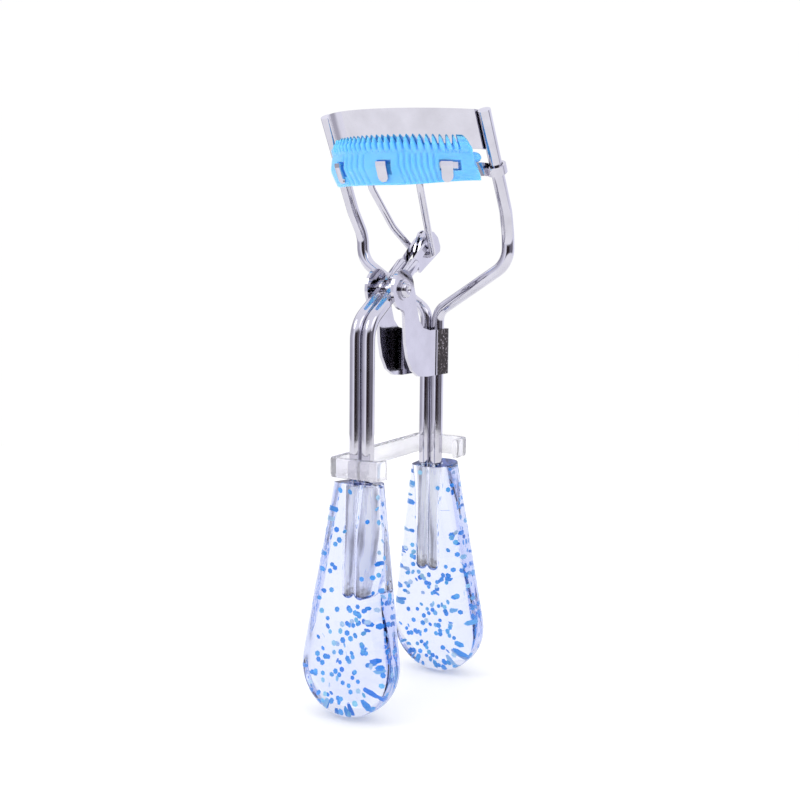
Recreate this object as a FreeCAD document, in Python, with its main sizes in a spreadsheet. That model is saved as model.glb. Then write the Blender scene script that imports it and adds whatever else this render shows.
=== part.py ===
import FreeCAD, Part
import math
import os

# Eyelash curler, in millimetres. +Z runs up along the handles to the jaw, +X along
# the rivet and across the jaw, and -Y towards the lever handle. The origin is the
# middle of the bounding box's underside.

os.makedirs("parts", exist_ok=True)
doc = FreeCAD.newDocument("eyelash_curler")
V = FreeCAD.Vector

# ---------------------------------------------------------------- driving sizes
SIZES = {
    # the wires, and the path of a frame wire
    "wire_dia": 2.35, "wire_pitch": 2.55, "rear_y": 12.55, "front_y": -12.55,
    "wire_end_z": 22.3, "fork_z": 72.6, "shoulder_x": 16.1, "shoulder_z": 82.2,
    "frame_half": 16.8, "lean_start_z": 86.9, "spread_z": 91.8,
    "lean": 28.1, "frame_top_z": 109.4,
    # pivot, rivet and washers
    "pivot_y": -3.45, "pivot_z": 77.35, "rivet_dia": 1.9, "head_dia": 3.1,
    "head_height": 0.75, "washer_dia": 3.9, "washer_thick": 0.3, "fit": 0.04,
    # bracket
    "sheet": 0.62, "ear_radius": 3.7, "bracket_top": 69.35, "bracket_bottom": 60.65,
    # lever wire and its loop
    "lever_bend_z": 71.4, "leg_thick": 0.9, "leg_height": 2.3, "nub_y": 2.9, "nub_z": 81.8,
    "loop_y": 9.1, "loop_z": 86.6, "loop_thick": 0.64, "loop_height": 1.3,
    # the arc of plate, jaw and pad: its axis at the height where the pad meets the plate
    "arc_y": 13.87, "arc_z": 102.24, "jaw_lean": 11.5,
    "plate_gap": 0.5, "plate_r": 18.9, "plate_height": 6.7, "plate_thick": 0.7,
    "jaw_r": 19.0, "jaw_thick": 0.7, "jaw_height": 3.15, "jaw_drop": 5.05,
    "jaw_half_angle": 54.5, "tab_angle": 33.2, "tab_half_angle": 2.85, "tab_thick": 0.42,
    "pad_half_angle": 51.7, "pad_height": 6.05, "belly_r": 20.9, "tab_drop": 5.55,
    "fin_count": 22, "fin_pitch": 3.693, "fin_thick": 0.84, "fin_height": 2.5, "comb_end": 41.4,
    "block_right": 47.3, "block_height": 1.7, "arm_height": 2.3, "arm_step": 0.8, "arm_start": 46.5,
    "eye_drop": 2.9, "eye_height": 1.5, "eye_wall": 0.55, "eye_play": 0.12,
    # yoke and saddle
    "yoke_dia": 1.3, "yoke_x": 5.2, "yoke_mid_x": 3.75, "yoke_mid_y": 3.7, "yoke_mid_z": 88.7,
    "yoke_low_x": 1.86, "hook_y": 9.2, "hook_z": 83.65, "saddle_half": 0.7,
    "saddle_sheet": 0.42, "slot_radius": 1.02, "slot_in": 0.6, "slot_out": 0.18,
    # handles and clip
    "handle_top": 42.85, "handle_len": 42.9, "handle_top_half": 4.3, "handle_half": 9.5,
    "handle_thick": 7.8, "handle_rim": 3.1, "handle_tilt": 4.2, "handle_corner": 0.95, "glue_wall": 0.14, "glue_end": 0.9,
    "rear_offset_x": 0.6, "rear_offset_y": 0.6, "front_offset_x": -0.25, "front_offset_y": 0.4,
    "crimp_front": 8.7, "crimp_step": 0.14,
    "clip_z": 43.75, "clip_height": 3.9, "clip_wall": 1.35, "clip_left": -4.8,
    "clip_front": -16.6, "clip_front_right": 6.3, "clip_rear": 16.0, "clip_rear_right": 6.0,
}
sheet = doc.addObject("Spreadsheet::Sheet", "Sizes")
for row, (name, value) in enumerate(SIZES.items(), 1):
    sheet.set("A%d" % row, name)
    sheet.set("B%d" % row, str(value))
    sheet.setAlias("B%d" % row, name)
doc.recompute()


def size(name):
    return float(getattr(sheet, name))


WIRE_R = size("wire_dia") / 2
PITCH = size("wire_pitch") / 2
REAR_Y = size("rear_y")
FRONT_Y = size("front_y")
FIT = size("fit")
TAN_LEAN = math.tan(math.radians(size("lean")))
TAN_JAW = math.tan(math.radians(size("jaw_lean")))
UP = V(0, -math.sin(math.radians(size("lean"))), math.cos(math.radians(size("lean"))))
PIVOT = V(0, size("pivot_y"), size("pivot_z"))
NUB = V(0, size("nub_y"), size("nub_z"))
LOOP = V(0, size("loop_y"), size("loop_z"))
EAR_GAP = PITCH + WIRE_R + FIT / 2
PAD_TOP = size("arc_z")
PLATE_BOTTOM = PAD_TOP + size("plate_gap")
JAW_BOTTOM = PAD_TOP - size("jaw_drop")
JAW_TOP = JAW_BOTTOM + size("jaw_height")


# ---------------------------------------------------------------- helpers
def add_part(label, shape):
    """A free-form sub-part under its own label."""
    obj = doc.addObject("Part::Feature", label)
    obj.Label = label
    obj.Shape = shape
    return obj


def filleted_path(points, radii):
    """Straight runs joined by tangent arcs; radii belong to the inner points."""
    edges, start = [], points[0]
    for before, corner, after, radius in zip(points, points[1:], points[2:], radii):
        a = (before - corner).normalize()
        b = (after - corner).normalize()
        half = a.getAngle(b) / 2
        cut = radius / math.tan(half)
        p, q = corner + a * cut, corner + b * cut
        middle = corner + (a + b).normalize() * (radius / math.sin(half) - radius)
        edges.append(Part.LineSegment(start, p).toShape())
        edges.append(Part.Arc(p, middle, q).toShape())
        start = q
    edges.append(Part.LineSegment(start, points[-1]).toShape())
    return Part.Wire(edges)


def swept_wire(points, radii, radius):
    """A round wire along a path."""
    ring = Part.Wire(Part.makeCircle(radius, points[0], points[1] - points[0]))
    return filleted_path(points, radii).makePipeShell([ring], True, True)


def mirrored(shape):
    return shape.mirror(V(0, 0, 0), V(1, 0, 0))


def fused(shapes):
    return shapes[0].multiFuse(shapes[1:]).removeSplitter()


def prism_x(points, x0, x1):
    """A flat outline in the YZ plane, given as (y, z) pairs, thick along X."""
    face = Part.Face(Part.makePolygon([V(x0, y, z) for y, z in points + points[:1]]))
    return face.extrude(V(x1 - x0, 0, 0))


def disc_x(spot, radius, x0, x1):
    """A round disc along X at a point of the YZ plane."""
    return Part.makeCylinder(radius, x1 - x0, V(x0, spot.y, spot.z), V(1, 0, 0))


def box(x0, x1, y0, y1, z0, z1):
    return Part.makeBox(x1 - x0, y1 - y0, z1 - z0, V(x0, y0, z0))


def arc_point(radius, angle, z, lean):
    """A point of the jaw's arc, which moves forward with height by a lean's tangent."""
    a = math.radians(angle)
    y = size("arc_y") - lean * (z - size("arc_z")) - radius * math.cos(a)
    return V(radius * math.sin(a), y, z)


def sector_wire(r_in, r_out, a0, a1, z, lean):
    mid = (a0 + a1) / 2
    inner = [arc_point(r_in, a, z, lean) for a in (a0, mid, a1)]
    outer = [arc_point(r_out, a, z, lean) for a in (a1, mid, a0)]
    return Part.Wire([
        Part.Arc(*inner).toShape(),
        Part.LineSegment(inner[-1], outer[0]).toShape(),
        Part.Arc(*outer).toShape(),
        Part.LineSegment(outer[-1], inner[0]).toShape(),
    ])


def sector(r_in, r_out, half, z0, z1, middle=0.0, top_r=None, lean=TAN_JAW):
    """A curved bar of the jaw; top_r gives its two radii at the top where they differ."""
    low = sector_wire(r_in, r_out, middle - half, middle + half, z0, lean)
    if top_r is None:
        return Part.Face(low).extrude(V(0, -lean * (z1 - z0), z1 - z0))
    high = sector_wire(top_r[0], top_r[1], middle - half, middle + half, z1, lean)
    return Part.makeLoft([low, high], True, True)


# ---------------------------------------------------------------- frame wires
def wire_y(z):
    """Where the leaning part of a frame wire stands at a height."""
    return REAR_Y - TAN_LEAN * (z - size("lean_start_z"))


def frame_wire():
    """From the rear handle up through the crimp, out to the shoulder and up to the plate."""
    top, spread = size("frame_top_z"), size("spread_z")
    half = size("frame_half")
    points = [
        V(PITCH, REAR_Y, size("wire_end_z")),
        V(PITCH, REAR_Y, size("fork_z")),
        V(size("shoulder_x"), REAR_Y, size("shoulder_z")),
        V(size("shoulder_x"), REAR_Y, size("lean_start_z")),
        V(half, wire_y(spread), spread),
        V(half, wire_y(top), top),
    ]
    return swept_wire(points, (3.2, 5.0, 7.0, 12.0), WIRE_R)


right_wire = frame_wire()
add_part("frame_wire_right", right_wire)
add_part("frame_wire_left", mirrored(right_wire))


# ---------------------------------------------------------------- upper plate
def upper_plate():
    """The fixed plate: an arc whose ends turn back along the inside of the wires."""
    z0, high = PLATE_BOTTOM, size("plate_height")
    thick, r_out = size("plate_thick"), size("plate_r")
    flange = size("frame_half") - WIRE_R - FIT / 4
    end = math.degrees(math.asin((flange - 0.2) / r_out))
    arc = sector(r_out - thick, r_out, end, z0, z0 + high, lean=TAN_LEAN)
    tip = arc_point(r_out, end, z0, TAN_LEAN).y
    back = wire_y(z0) + WIRE_R + 0.3
    outline = [
        V(flange, tip - 0.05, z0), V(flange, back, z0), V(flange - thick, back, z0),
        V(flange - thick, tip - 0.4, z0), V(flange, tip - 0.05, z0),
    ]
    side = Part.Face(Part.makePolygon(outline)).extrude(V(0, -TAN_LEAN * high, high))
    return fused([arc, side, mirrored(side)])


add_part("upper_plate", upper_plate())


# ---------------------------------------------------------------- pivot bracket
def cheek_outline(back):
    """One ear seen from the side: its neck from the pivot, its lobe and its crimp."""
    top, low = size("bracket_top"), size("bracket_bottom")
    py, pz = PIVOT.y, PIVOT.z
    return [
        (py - 3.3, pz - 1.6), (py + 0.3, pz - 4.1), (py + 0.9, pz - 9.9),
        (py + 1.7, pz - 12.6), (py + 3.4, pz - 15.1), (py + 5.8, pz - 16.4),
        (py + 9.0, low), (back, low), (back, top), (py + 9.8, top + 0.05),
        (py + 7.4, top + 0.6), (py + 5.8, top + 2.0), (py + 4.9, top + 4.3),
        (py + 4.3, top + 6.9), (py + 3.5, pz + 0.9), (py, pz),
    ]


def u_channel(half, back, front, low, high):
    """A straight channel, closed and rounded at the back, as a solid block."""
    block = box(-half, half, front, back, low, high)
    rims = [e for e in block.Edges if e.BoundBox.ZLength > 1 and e.BoundBox.YMin > back - 0.01]
    return block.makeFillet(half * 0.48, rims)


def pivot_bracket():
    """One bent sheet: two ears at the front, closed round the rear wires."""
    thick = size("sheet")
    front, low, high = PIVOT.y - 6, size("bracket_bottom") - 1, PIVOT.z + 6
    back = REAR_Y + WIRE_R + FIT / 2
    outer = u_channel(EAR_GAP + thick, back + thick, front, low, high)
    step = size("crimp_step")
    outer = outer.fuse(u_channel(EAR_GAP + thick + step, back + thick + step,
                                 size("crimp_front"), size("bracket_bottom"), size("bracket_top")))
    inner = u_channel(EAR_GAP, back, front - 1, low, high)
    reach = EAR_GAP + thick + 1
    cheek = prism_x(cheek_outline(back + 2), -reach, reach)
    cheek = cheek.fuse(disc_x(PIVOT, size("ear_radius"), -reach, reach))
    hole = disc_x(PIVOT, size("rivet_dia") / 2 + FIT, -reach, reach)
    return outer.cut(inner).common(cheek).cut(hole).removeSplitter()


add_part("pivot_bracket", pivot_bracket())

# ---------------------------------------------------------------- rivet and washers
EAR_FACE = "((Sizes.wire_pitch + Sizes.wire_dia + Sizes.fit) / 2 + Sizes.sheet)"
HEAD_FACE = "(" + EAR_FACE + " + Sizes.washer_thick + Sizes.fit)"


def on_pivot(kind, name, turn, x, **sizes):
    """A round primitive on the pivot's axis, its sizes and place bound to the sheet."""
    obj = doc.addObject(kind, name)
    for prop, text in sizes.items():
        obj.setExpression(prop, text)
    obj.Placement = FreeCAD.Placement(V(0, 0, 0), FreeCAD.Rotation(V(0, 1, 0), turn))
    obj.setExpression("Placement.Base.x", x)
    obj.setExpression("Placement.Base.y", "Sizes.pivot_y")
    obj.setExpression("Placement.Base.z", "Sizes.pivot_z")
    return obj


rivet = doc.addObject("Part::MultiFuse", "pivot_rivet")
rivet.Label = "pivot_rivet"
rivet.Shapes = [
    on_pivot("Part::Cylinder", "rivet_shaft", 90, "-" + HEAD_FACE,
             Radius="Sizes.rivet_dia / 2", Height="2 * " + HEAD_FACE),
    on_pivot("Part::Cone", "rivet_head_right", 90, HEAD_FACE, Radius1="Sizes.head_dia / 2",
             Radius2="Sizes.head_dia / 2 * 0.62", Height="Sizes.head_height"),
    on_pivot("Part::Cone", "rivet_head_left", -90, "-" + HEAD_FACE, Radius1="Sizes.head_dia / 2",
             Radius2="Sizes.head_dia / 2 * 0.62", Height="Sizes.head_height"),
]


def washer(label, start):
    ring = doc.addObject("Part::Cut", label)
    ring.Label = label
    ring.Base = on_pivot("Part::Cylinder", label + "_disc", 90, start,
                         Radius="Sizes.washer_dia / 2", Height="Sizes.washer_thick")
    ring.Tool = on_pivot("Part::Cylinder", label + "_hole", 90, start,
                         Radius="Sizes.rivet_dia / 2 + Sizes.fit", Height="Sizes.washer_thick")


washer("pivot_washer_right", EAR_FACE + " + Sizes.fit / 2")
washer("pivot_washer_left", "-" + EAR_FACE + " - Sizes.fit / 2 - Sizes.washer_thick")


# ---------------------------------------------------------------- lever wire
def band(start, end, half, x0, x1):
    """A flattened run of the wire between two points of the YZ plane, round ended."""
    along = (end - start).normalize()
    side = V(0, -along.z, along.y) * half
    corners = [start + side, end + side, end - side, start - side]
    bar = prism_x([(p.y, p.z) for p in corners], x0, x1)
    return bar.multiFuse([disc_x(p, half, x0, x1) for p in (start, end)])


def loop_strap(x0, x1, half):
    """The flattened wire's two runs past the nubs, joined by a half turn at the tip."""
    along = (LOOP - NUB).normalize()
    across = V(0, -along.z, along.y)
    center = LOOP - along * ((x0 + x1) / 2)

    def turn(radius):
        side = V(radius, 0, 0)
        arc = Part.Arc(center + side, center + along * radius, center - side)
        return Part.Wire([
            Part.LineSegment(NUB + side, center + side).toShape(),
            arc.toShape(),
            Part.LineSegment(center - side, NUB - side).toShape(),
            Part.LineSegment(NUB - side, NUB + side).toShape(),
        ])

    slab = Part.Face(turn(x1)).cut(Part.Face(turn(x0)))
    slab.translate(across * -half)
    return slab.extrude(across * (2 * half))


def lever_wire():
    """One wire: two round legs, flat at the rivet, then a flattened loop past the nubs."""
    half = size("leg_height") / 2
    flat = [PITCH - size("leg_thick") / 2, PITCH + size("leg_thick") / 2]
    strap = [PITCH - size("loop_thick") / 2, PITCH + size("loop_thick") / 2]
    bend = V(PITCH, FRONT_Y, size("lever_bend_z"))
    rise = (PIVOT - V(0, bend.y, bend.z)).normalize()
    near = V(PITCH, 0, 0) + PIVOT - rise * 2.9
    onward = (NUB - PIVOT).normalize()
    stub = V(PITCH, 0, 0) + PIVOT + onward * 2.9
    nub = V(PITCH, 0, 0) + NUB
    round_r = WIRE_R - 0.05
    right = fused([
        swept_wire([V(PITCH, FRONT_Y, size("wire_end_z")), bend, near], (5.5,), WIRE_R),
        Part.makeSphere(WIRE_R, near),
        band(PIVOT - rise * 3.3, PIVOT, half, *flat),
        disc_x(PIVOT, 1.75, *flat),
        band(PIVOT, PIVOT + onward * 3.3, half, *flat),
        Part.makeSphere(round_r, stub),
        Part.makeCylinder(round_r, (nub - stub).Length, stub, onward),
        Part.makeSphere(round_r, nub),
    ])
    hole = disc_x(PIVOT, size("rivet_dia") / 2 + FIT * 1.5, -4, 4)
    loop = loop_strap(strap[0], strap[1], size("loop_height") / 2)
    return right.multiFuse([mirrored(right), loop]).cut(hole).removeSplitter()


add_part("lever_wire", lever_wire())

# ---------------------------------------------------------------- moving jaw
TAB_ANGLES = [-size("tab_angle"), 0.0, size("tab_angle")]


def wire_eye():
    """A ring round the right frame wire, and the flat arm from the jaw's end to it."""
    high = size("eye_height")
    z0 = PAD_TOP - size("eye_drop") - high / 2
    bore_r = WIRE_R + size("eye_play")
    ring_r = bore_r + size("eye_wall")
    center = V(size("frame_half"), wire_y(z0), z0)
    ring = Part.makeCylinder(ring_r, high / UP.z, center, UP)
    bore = Part.makeCylinder(bore_r, high / UP.z + 4, center - UP * 2, UP)
    arm_z, arm_high = JAW_TOP - size("arm_height"), size("arm_height")
    tip = arc_point(size("jaw_r") - size("jaw_thick") / 2, size("jaw_half_angle"), arm_z, TAN_JAW)
    inner, arm_y = size("frame_half") - ring_r, wire_y(arm_z)
    outline = [
        V(tip.x - 0.3, tip.y - 0.3, arm_z), V(tip.x + 0.35, tip.y - 0.2, arm_z),
        V(inner + size("eye_wall") + 0.1, arm_y, arm_z), V(inner, arm_y, arm_z),
        V(tip.x - 0.3, tip.y - 0.3, arm_z),
    ]
    arm = Part.Face(Part.makePolygon(outline)).extrude(V(0, -TAN_LEAN * arm_high, arm_high))
    return ring.fuse(arm).cut(bore)


def clamp_tab(angle):
    """A tab folded out over the pad's front and down, with a round lower end."""
    half, thick = size("tab_half_angle"), size("tab_thick")
    belly_r, foot_r = size("belly_r") + 0.08, size("belly_r") - 0.55
    foot, belly = PAD_TOP - size("tab_drop"), PAD_TOP - 2.7
    tab = fused([
        sector(size("jaw_r") - 0.1, belly_r + thick, half, JAW_TOP - thick, JAW_TOP, angle),
        sector(belly_r, belly_r + thick, half, belly, JAW_TOP, angle),
        sector(foot_r, foot_r + thick, half, foot, belly, angle, (belly_r, belly_r + thick)),
    ])
    wide = math.radians(half) * belly_r
    start = arc_point(size("jaw_r") - 3, angle, foot + wide, TAN_JAW)
    outwards = V(math.sin(math.radians(angle)), -math.cos(math.radians(angle)), 0)
    nose = Part.makeCylinder(wide, 8, start, outwards)
    above = box(-30, 30, -30, 30, foot + wide, JAW_TOP)
    return tab.common(nose.fuse(above))


def moving_jaw():
    """A curved strip with three folded tabs, and an eye round each frame wire."""
    r1 = size("jaw_r")
    r0, step = r1 - size("jaw_thick"), size("arm_step")
    strip = sector(r0, r1, size("arm_start"), JAW_BOTTOM, JAW_TOP)
    strip = strip.fuse(sector(r0, r1, size("jaw_half_angle"), JAW_BOTTOM + step, JAW_TOP))
    eye = wire_eye()
    return fused([strip, eye, mirrored(eye)] + [clamp_tab(angle) for angle in TAB_ANGLES])


add_part("moving_jaw", moving_jaw())


# ---------------------------------------------------------------- lash pad
def comb_fins(r_in, low):
    """Upright fins side by side along the arc, each slanted at the top of its front."""
    count, pitch, last = int(size("fin_count")), size("fin_pitch"), size("comb_end")
    tip = PAD_TOP + size("fin_height")
    profile = [(r_in, low), (r_in, tip), (19.55, tip), (20.45, tip - 0.8), (20.45, low)]
    fins = []
    for i in range(count):
        angle = last - (i + 0.5) * pitch
        a = math.radians(angle)
        side = V(math.cos(a), math.sin(a), 0) * (size("fin_thick") / 2)
        ring = [arc_point(r, angle, z, TAN_LEAN) - side for r, z in profile]
        fins.append(Part.Face(Part.makePolygon(ring + ring[:1])).extrude(side * 2))
    slot = (pitch - math.degrees(size("fin_thick") / 20.4)) / 2
    ends = ((last + slot, size("block_right")), (-size("pad_half_angle"), last - count * pitch - slot))
    for low_angle, high_angle in ends:
        middle, half = (low_angle + high_angle) / 2, (high_angle - low_angle) / 2
        top = PAD_TOP + size("block_height")
        fins.append(sector(r_in, 20.45, half, low, top, middle, lean=TAN_LEAN))
    return fins


def lash_pad():
    """Silicone pad over the jaw's strip, with a comb of fins in front of the plate."""
    half, play = size("pad_half_angle"), FIT
    r_in = size("jaw_r") - size("jaw_thick") - play
    r_out = size("jaw_r") + play
    fin_r = size("plate_r") + 0.25
    bottom = PAD_TOP - size("pad_height")
    belly, ridge = PAD_TOP - 3.0, PAD_TOP - 0.5
    belly_r, back_r = size("belly_r"), r_in - 0.9
    pad = fused([
        sector(back_r, r_out + 0.6, half, JAW_TOP + play, PAD_TOP),
        sector(back_r, r_in, half, JAW_TOP - 1.8, JAW_TOP + play * 2),
        sector(r_out, 19.4, half, bottom, belly, top_r=(r_out, belly_r)),
        sector(r_out, belly_r, half, belly, ridge, top_r=(r_out, 20.3)),
        sector(fin_r, 20.3, half, ridge, PAD_TOP),
        sector(fin_r, 20.3, half, PAD_TOP, PAD_TOP + 0.25, top_r=(fin_r, 20.15), lean=TAN_LEAN),
    ])
    pad = pad.multiFuse(comb_fins(fin_r, PAD_TOP - 0.2))
    window_half = size("tab_half_angle") + 1.4
    for angle in TAB_ANGLES:
        window = sector(size("jaw_r") + play / 2, 22.0, window_half, bottom - 0.5, JAW_TOP + 0.12,
                        angle + 1.0)
        pad = pad.cut(window)
    return pad.removeSplitter()


add_part("lash_pad", lash_pad())


# ---------------------------------------------------------------- yoke wires
def yoke_wire():
    """From the back of the jaw's strip down to a hooked end in the saddle."""
    radius = size("yoke_dia") / 2
    r_back = size("jaw_r") - size("jaw_thick") - radius - FIT
    angle = math.degrees(math.asin(size("yoke_x") / r_back))
    top = arc_point(r_back, angle, JAW_TOP - 1.95, TAN_JAW)
    knee = arc_point(r_back, angle, JAW_BOTTOM - 1.35, TAN_JAW)
    middle = V(size("yoke_mid_x"), size("yoke_mid_y"), size("yoke_mid_z"))
    low = V(size("yoke_low_x"), size("hook_y"), size("hook_z"))
    end = V(size("saddle_half") - size("saddle_sheet"), low.y, low.z)
    return swept_wire([top, knee, middle, low, end], (2.6, 9.0, 0.8), radius)


right_yoke = yoke_wire()
add_part("yoke_wire_right", right_yoke)
add_part("yoke_wire_left", mirrored(right_yoke))


# ---------------------------------------------------------------- yoke saddle
def yoke_saddle():
    """A folded sheet: two cheeks that hold the yoke's hooks and the loop's tip."""
    half, thick = size("saddle_half"), size("saddle_sheet")
    y, z = LOOP.y, LOOP.z
    outline = [
        (y - 3.1, z - 5.9), (y - 3.1, z - 2.5), (y - 2.0, z + 0.3), (y - 1.3, z + 1.2),
        (y - 0.2, z + 1.6), (y + 2.4, z + 1.3), (y + 4.0, z + 0.3), (y + 5.0, z - 1.4),
        (y + 4.9, z - 2.4), (y + 1.0, z - 4.5), (y - 2.5, z - 6.4),
    ]
    block = prism_x(outline, -half, half)
    rims = [e for e in block.Edges if e.BoundBox.XLength > 1 and e.BoundBox.YMin > y + 2.2]
    block = block.makeFillet(half * 0.6, rims)
    inside = [
        (y - 9, z - 9), (y - 9, z + 9), (y + 2.2, z + 9), (y + 2.2, z + 0.85),
        (y + 3.7, z - 0.05), (y + 4.55, z - 1.5), (y + 4.45, z - 9),
    ]
    saddle = block.cut(prism_x(inside, thick - half, half - thick))
    # the slot lets the loop's tip swing across the jaw's line of travel
    across = V(0, UP.z, -UP.y)
    radius = size("slot_radius")
    ends = [LOOP - across * size("slot_in"), LOOP + across * size("slot_out")]
    corners = [ends[0] + UP * radius, ends[1] + UP * radius,
               ends[1] - UP * radius, ends[0] - UP * radius]
    cutters = [disc_x(p, radius, -half, half) for p in ends]
    cutters.append(prism_x([(p.y, p.z) for p in corners], -half, half))
    hook = V(0, size("hook_y"), size("hook_z"))
    cutters.append(disc_x(hook, size("yoke_dia") / 2 + FIT, -half, half))
    for cutter in cutters:
        saddle = saddle.cut(cutter)
    return saddle.removeSplitter()


add_part("yoke_saddle", yoke_saddle())


# ---------------------------------------------------------------- handles
def flank_angle():
    """The flanks run from the top corners and touch the round lower end."""
    top, half, drop = size("handle_top_half"), size("handle_half"), size("handle_len") - size("handle_half")
    return math.asin(half / math.hypot(top, drop)) - math.atan2(top, drop)


def corner_waste():
    """What rounding takes off the handle's right top corner, in the handle's own place."""
    radius, half, angle = size("handle_corner"), size("handle_top_half"), flank_angle()
    centre = V(half - radius * (1 - math.sin(angle)) / math.cos(angle), -10, -radius)
    touch = centre + V(math.cos(angle), 0, math.sin(angle)) * radius
    outline = [V(centre.x, -10, 0), V(centre.x, -10, 1), V(half + 2, -10, 1),
               V(half + 2, -10, touch.z), touch, centre, V(centre.x, -10, 0)]
    waste = Part.Face(Part.makePolygon(outline)).extrude(V(0, 20, 0))
    return waste.cut(Part.makeCylinder(radius, 20, centre, V(0, 1, 0)))


def handle_blank(name, side, off_x, off_y):
    """A teardrop paddle as a sketched body, hung from its top and tilted outwards."""
    body = doc.addObject("PartDesign::Body", name + "_body")
    plane = [o for o in body.Origin.OriginFeatures if o.Role == "XZ_Plane"][0]
    sketch = body.newObject("Sketcher::SketchObject", name + "_outline")
    sketch.AttachmentSupport = (plane, [""])
    sketch.MapMode = "FlatFace"
    top, half, length = size("handle_top_half"), size("handle_half"), size("handle_len")
    drop = length - half
    angle = flank_angle()
    touch = V(half * math.cos(angle), half * math.sin(angle) - drop, 0)
    corner = V(top, 0, 0)
    sketch.addGeometry(Part.LineSegment(V(-top, 0, 0), corner))
    sketch.addGeometry(Part.LineSegment(corner, touch))
    sketch.addGeometry(Part.Arc(touch, V(0, -length, 0), V(-touch.x, touch.y, 0)))
    sketch.addGeometry(Part.LineSegment(V(-touch.x, touch.y, 0), V(-top, 0, 0)))
    pad = body.newObject("PartDesign::Pad", name + "_pad")
    pad.Profile = sketch
    pad.setExpression("Length", "Sizes.handle_thick")
    pad.Midplane = True
    doc.recompute()
    rims = ["Edge%d" % i for i, e in enumerate(pad.Shape.Edges, 1)
            if e.BoundBox.YLength < 0.01 and e.BoundBox.ZMin < -1]
    fillet = body.newObject("PartDesign::Fillet", name + "_rim")
    fillet.Base = (pad, rims)
    fillet.setExpression("Radius", "Sizes.handle_rim")
    body.Tip = fillet
    spot = V(off_x, side * (REAR_Y + off_y), size("handle_top"))
    turn = FreeCAD.Rotation(V(1, 0, 0), side * size("handle_tilt"))
    body.Placement = FreeCAD.Placement(spot, turn)
    doc.recompute()
    return body


def socket(y, wall, floor):
    """Two joined tubes round a pair of wires, domed at their lower ends."""
    radius, high = WIRE_R + wall, size("handle_top") + 3
    low = floor + radius
    shapes = [box(-PITCH, PITCH, y - radius / 2, y + radius / 2, low, high)]
    for x in (-PITCH, PITCH):
        shapes.append(Part.makeCylinder(radius, high - low, V(x, y, low)))
        shapes.append(Part.makeSphere(radius, V(x, y, low)))
    return fused(shapes)


def add_handle(end_name, side):
    """A handle with its socket, and the plug of adhesive that fills it round the wires."""
    y, end, wall = side * REAR_Y, size("wire_end_z"), size("glue_wall")
    name, plug_name, floor = end_name + "_handle", end_name + "_adhesive", end - size("glue_end")
    blank = handle_blank(name, side, size(end_name + "_offset_x"), size(end_name + "_offset_y"))
    waste = fused([corner_waste(), mirrored(corner_waste())])
    waste.Placement = blank.Placement
    add_part(name, blank.Shape.cut(waste.fuse(socket(y, wall, floor))))
    plug = socket(y, wall - FIT / 4, floor + FIT / 4)
    plug = plug.common(box(-20, 20, y - 20, y + 20, 0, size("handle_top") - 0.7))
    for x in (-PITCH, PITCH):
        plug = plug.cut(Part.makeCylinder(WIRE_R + FIT / 4, 60, V(x, y, end - FIT / 4)))
    add_part(plug_name, plug)


add_handle("rear", 1)
add_handle("front", -1)


# ---------------------------------------------------------------- retaining clip
def retaining_clip():
    """A soft strap, open on the right, hooked round both pairs of wires."""
    z0, wall = size("clip_z"), size("clip_wall")
    z1 = z0 + size("clip_height")
    left, front, rear = size("clip_left"), size("clip_front"), size("clip_rear")
    front_right, rear_right = size("clip_front_right"), size("clip_rear_right")
    clip = fused([
        box(left, left + wall, front, rear, z0, z1),
        box(left, front_right, front, front + wall, z0, z1),
        box(front_right - wall, front_right, front, front + 3.2, z0, z1),
        box(left, rear_right, rear - wall, rear, z0, z1),
        box(rear_right - wall, rear_right, rear - 5.0, rear, z0, z1),
    ])
    upright = [e for e in clip.Edges if e.BoundBox.ZLength > 1]
    return clip.makeFillet(0.5, upright)


add_part("retaining_clip", retaining_clip())

# ---------------------------------------------------------------- export
NODES = [
    "frame_wire_left", "frame_wire_right", "upper_plate", "pivot_bracket", "pivot_rivet",
    "pivot_washer_left", "pivot_washer_right", "rear_handle", "rear_adhesive", "lever_wire",
    "front_handle", "front_adhesive", "moving_jaw", "lash_pad", "yoke_wire_left",
    "yoke_wire_right", "yoke_saddle", "retaining_clip",
]
doc.recompute()
by_label = {obj.Label: obj for obj in doc.Objects}
for node in NODES:
    obj = by_label[node]
    shape = obj.Shape
    if "Invalid" in obj.State or "Error" in obj.State or shape.isNull() or not shape.isValid():
        raise RuntimeError("bad shape: " + node)
    bounds = shape.BoundBox
    print(node, "solids", len(shape.Solids), "volume", round(shape.Volume, 2),
          "z", round(bounds.ZMin, 2), round(bounds.ZMax, 2))
    shape.exportStep("parts/%s.step" % node)
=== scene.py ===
"""Looks of the eyelash curler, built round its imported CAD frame.

The frame's nodes keep their shapes and get materials. A detailed pad, rivet and clip stand
for the plain solids of those parts, and foil flakes are added inside the two handles. The
outlines are in millimetres and degrees, and new_piece() turns them into metres. Materials,
lamps and the camera are in metres.
"""
import bmesh
import bpy
import math
import random
from mathutils import Matrix, Vector


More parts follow.
